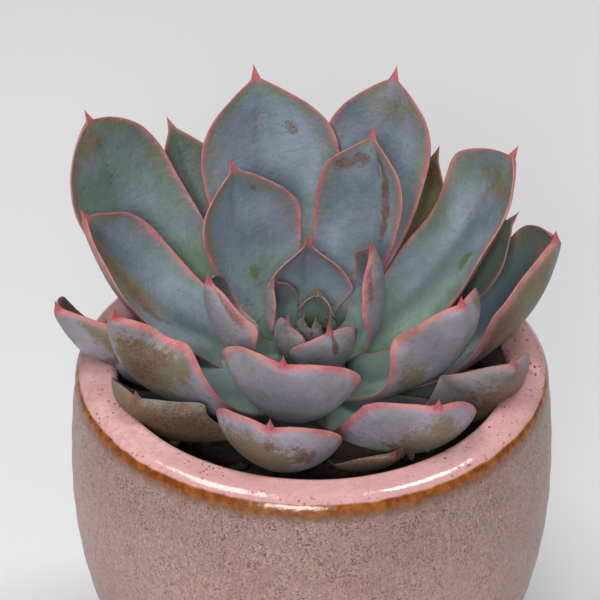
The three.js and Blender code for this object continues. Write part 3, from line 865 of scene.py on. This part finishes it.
def add_relief(number, x, y, halves, t, s, width):
    """Midrib channel, raised margins, waves towards the tip and a slightly uneven skin."""
    size = min(width / RELIEF_WIDTH, 1)
    window = smooth(t / 0.35) * smooth((1 - t) / 0.12)
    fold_at, fold_depth = FOLDS.get(number, (0.0, 1.0))
    crease = fold_depth * (0.45 + 1.0 * smooth((t - 0.4) / 0.5))
    y = y - crease * size * np.exp(-np.abs(s - fold_at) / CHANNEL_WIDTH) * window * UPPER_SIDE
    y = y + MARGIN_RAISE * size * np.exp(-(((1 - np.abs(s)) * halves / 0.9) ** 2)) * window
    phase = np.random.default_rng(100 + number).uniform(0, TURN, 6)
    wave = np.where(s > 0, np.sin(9 * t + phase[0]), np.sin(11 * t + phase[1]))
    y = y + MARGIN_WAVE * size * wave * np.abs(s) ** 3 * window
    bulge = np.sin(5 * t + 2.2 * s + phase[2]) + 0.6 * np.sin(9 * t - 4 * s + phase[3])
    y = y + BULGE * size * bulge * window
    x = x + RIPPLE * size * np.sin(8 * t + phase[4]) * np.abs(s) ** 2 * window * np.sign(s)
    droop = DROOP * size * np.sin(3 * t + phase[5]) * window
    return x, y + droop


def leaf_faces(rings, ring):
    """Quads between the rings, and a fan of triangles to the end point at each end."""
    faces = ring_faces(rings, ring)
    first = rings * ring
    top = first - ring
    for k in range(ring):
        following = (k + 1) % ring
        faces.append([first, k, following])
        faces.append([first + 1, top + following, top + k])
    return faces


def leaf_looks(number, width, length, halves, t, s):
    """What the leaf's material reads at every point: its place on the leaf, its marks and its tints."""
    shape = halves.shape

    def spread(values):
        return np.broadcast_to(values, shape).ravel()

    along, across, upper = spread(t), spread(s), spread(UPPER_SIDE)
    fields = marks_on(number, along, across, upper)
    scale = min(max(width / MARGIN_WIDTH, 0.2), 1)
    # The third tint is painted shade for leaves that lie in shade.
    green, lilac, painted_shade, pink = TINTS.get(number, BUD if width < BUD_WIDTH else OLD_LEAF)
    fields.update({
        "along": along,
        "across": across,
        "upper": upper,
        "edge": spread(halves * (1 - np.abs(s))) / scale,
        "tip": spread(((1 - ALONG) * length)[:, None]) / scale,
        "seed": spread(number * 7.3),
        "green": spread(green),
        "lilac": spread(lilac),
        "painted_shade": spread(painted_shade),
        "pink": spread(pink),
    })
    # The two end points take the values of the first and the last point.
    return {key: np.concatenate([v, [v[0], v[-1]]]) for key, v in fields.items()}


def make_leaf(number, row, material, name, replaced=None):
    azimuth, twist, seat, climb, reach, rise, finish, width, cup, roll, point, widest = row
    handles = leaf_handles(azimuth, twist, seat, climb, reach, rise, finish)
    length = curve_length(handles)
    at, along = bezier(handles, ALONG)
    across, up = leaf_axes(along, azimuth, twist, roll)
    t, half = (values[:, None] for values in half_widths(length, width, point, widest))
    s = PLACE_ACROSS[None, :]
    halves = shape_sides(number, half, t, s)
    x, y = leaf_section(half, halves, t, s, width, cup)
    x, y = add_relief(number, x, y, halves, t, s, width)
    points = at[:, None, :] + across[:, None, :] * x[..., None] + up[:, None, :] * y[..., None]
    faces = leaf_faces(*x.shape)
    ends = [at[0] - up[0] * 0.5 * THICK_BASE, at[-1] + along[-1] * 0.05]
    points = lift_over_rim(lean(np.concatenate([points.reshape(-1, 3), ends])))
    looks = leaf_looks(number, width, length, halves, t, s)
    finish_piece(name, points, faces, replaced, material, looks)


# Small leaves still folded round the growing tip, in the same terms as the rest.
BUDS = [
    [30, 0, 7.9, 84, 1.2, 14.6, 92, 2.6, 45, 0, 0.9, 0.4],
    [-120, 0, 7.8, 84, 1.4, 13.6, 92, 2.4, 45, 0, 0.9, 0.4],
]


def make_rosette():
    skin = leaf_material()
    for index, row in enumerate(LEAVES):
        number = f"{index + 1:02d}"
        make_leaf(index + 1, row, skin, f"succulent_leaf_{number}", f"leaf_{number}")
    for index, row in enumerate(BUDS):
        make_leaf(len(LEAVES) + index + 1, row, skin, f"bud_leaf_{index + 1}")


# ---------------------------------------------------------------- stage

# The floor, the lights and the camera are in metres. The lens and its sensor are in millimetres.
FLOOR_REACH = 1.6
FLOOR_POINTS = 40
FLOOR_DROP = 0.0002
LIGHT_TARGET = (0, 0, 0.07)
WORLD_COLOUR = (0.86, 0.89, 0.95, 1)
WORLD_STRENGTH = 0.12
LENS = 159.24
SENSOR = 36
CAMERA_TARGET = (-0.002, 0, 0.0838)
CAMERA_ELEVATION = 33.6
CAMERA_DISTANCE = 0.45


def aim(thing, place, target):
    thing.location = place
    way = np.array(target) - np.array(place)
    flat = math.hypot(way[0], way[1])
    thing.rotation_euler = (math.atan2(flat, -way[2]), 0, math.atan2(way[1], way[0]) - math.pi / 2)


def add_light(name, place, size, power, colour):
    lamp = bpy.data.lights.new(name, "AREA")
    lamp.shape = "RECTANGLE"
    lamp.size, lamp.size_y = size
    lamp.energy = power
    lamp.color = colour
    thing = bpy.data.objects.new(name, lamp)
    bpy.context.collection.objects.link(thing)
    aim(thing, place, LIGHT_TARGET)


def make_stage():
    grid = np.linspace(-FLOOR_REACH, FLOOR_REACH, FLOOR_POINTS)
    points = [(x, y, -FLOOR_DROP) for y in grid for x in grid]
    faces = []
    for row in range(FLOOR_POINTS - 1):
        for column in range(FLOOR_POINTS - 1):
            corner = row * FLOOR_POINTS + column
            faces.append((corner, corner + 1, corner + 1 + FLOOR_POINTS, corner + FLOOR_POINTS))
    mesh = bpy.data.meshes.new("floor")
    mesh.from_pydata(points, [], faces)
    mesh.materials.append(floor_material())
    floor = bpy.data.objects.new("floor", mesh)
    bpy.context.collection.objects.link(floor)

    add_light("overhead_left", (-0.36, 0.04, 1.05), (0.5, 0.36), 6.0, (1.0, 0.99, 0.97))
    add_light("overhead_right", (0.36, 0.2, 1.02), (0.3, 0.3), 5.4, (0.97, 0.98, 1.0))
    add_light("front_fill", (-0.15, -1.0, 0.62), (0.5, 0.4), 9.4, (1.0, 1.0, 1.0))

    world = bpy.data.worlds.new("studio")
    world.use_nodes = True
    background = world.node_tree.nodes["Background"]
    background.inputs["Color"].default_value = WORLD_COLOUR
    background.inputs["Strength"].default_value = WORLD_STRENGTH
    bpy.context.scene.world = world
    bpy.context.scene.view_settings.view_transform = "Standard"


def make_camera():
    lens = bpy.data.cameras.new("camera")
    lens.lens = LENS
    lens.sensor_width = SENSOR
    lens.clip_start = 0.01
    camera = bpy.data.objects.new("camera", lens)
    bpy.context.collection.objects.link(camera)
    tilt = math.radians(CAMERA_ELEVATION)
    place = np.array(CAMERA_TARGET) + CAMERA_DISTANCE * np.array([0, -math.cos(tilt), math.sin(tilt)])
    camera.location = place
    camera.rotation_euler = (math.pi / 2 - tilt, 0, 0)
    bpy.context.scene.camera = camera


make_camera()
make_pot(glaze_material())
make_soil(soil_material())
make_stem(stem_material())
make_rosette()
make_stage()
